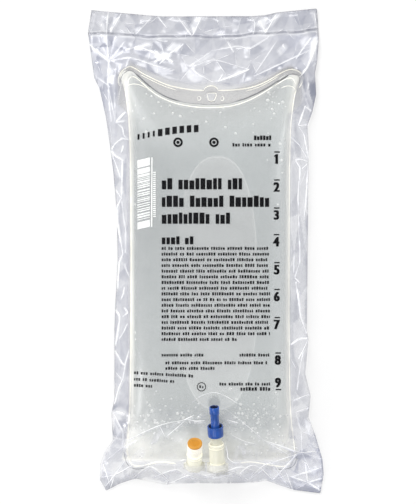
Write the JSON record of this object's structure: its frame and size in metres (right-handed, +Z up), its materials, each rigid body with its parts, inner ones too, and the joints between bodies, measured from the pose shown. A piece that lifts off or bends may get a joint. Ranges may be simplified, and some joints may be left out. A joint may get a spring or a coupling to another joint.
{
  "type": "intravenous fluid bag in overwrap",
  "caption": "Clear flexible bag of intravenous fluid, sealed in a crinkled clear overwrap, with a blue capped administration port and a medication port folded up over its front.",
  "frame": {"origin": "middle of the bounding box's bottom face, on the surface the pack lies on", "axes": "+Y along the pack to its hanger end, +X to the right seen from the front, +Z up from the back film to the printed front"},
  "size_m": [0.1837, 0.378, 0.0531],
  "materials": {
    "overwrap_film": "thin clear crinkled film, glossy",
    "bag_film": "clear flexible film, glossy",
    "solution": "clear liquid",
    "port_tube": "milky flexible tube",
    "membrane_tube": "milky clear tube",
    "protector": "satin blue moulding",
    "site_sleeve": "satin white moulding",
    "site_plug": "smooth resealing elastomer"
  },
  "bodies": {
    "pack": {"overwrap": "overwrap_film", "container": "bag_film", "solution": "solution", "administration_port_tube": "port_tube", "membrane_tube": "membrane_tube", "medication_port_tube": "port_tube", "injection_site_sleeve": "site_sleeve", "resealing_plug": "site_plug"},
    "port_protector": {"port_protector": "protector"}
  },
  "joints": [
    {"name": "protector_pull", "type": "slide", "parent": "pack", "child": "port_protector", "axis": [-0.0506, 0.9193, 0.3902], "range_m": [0, 0.007]}
  ]
}
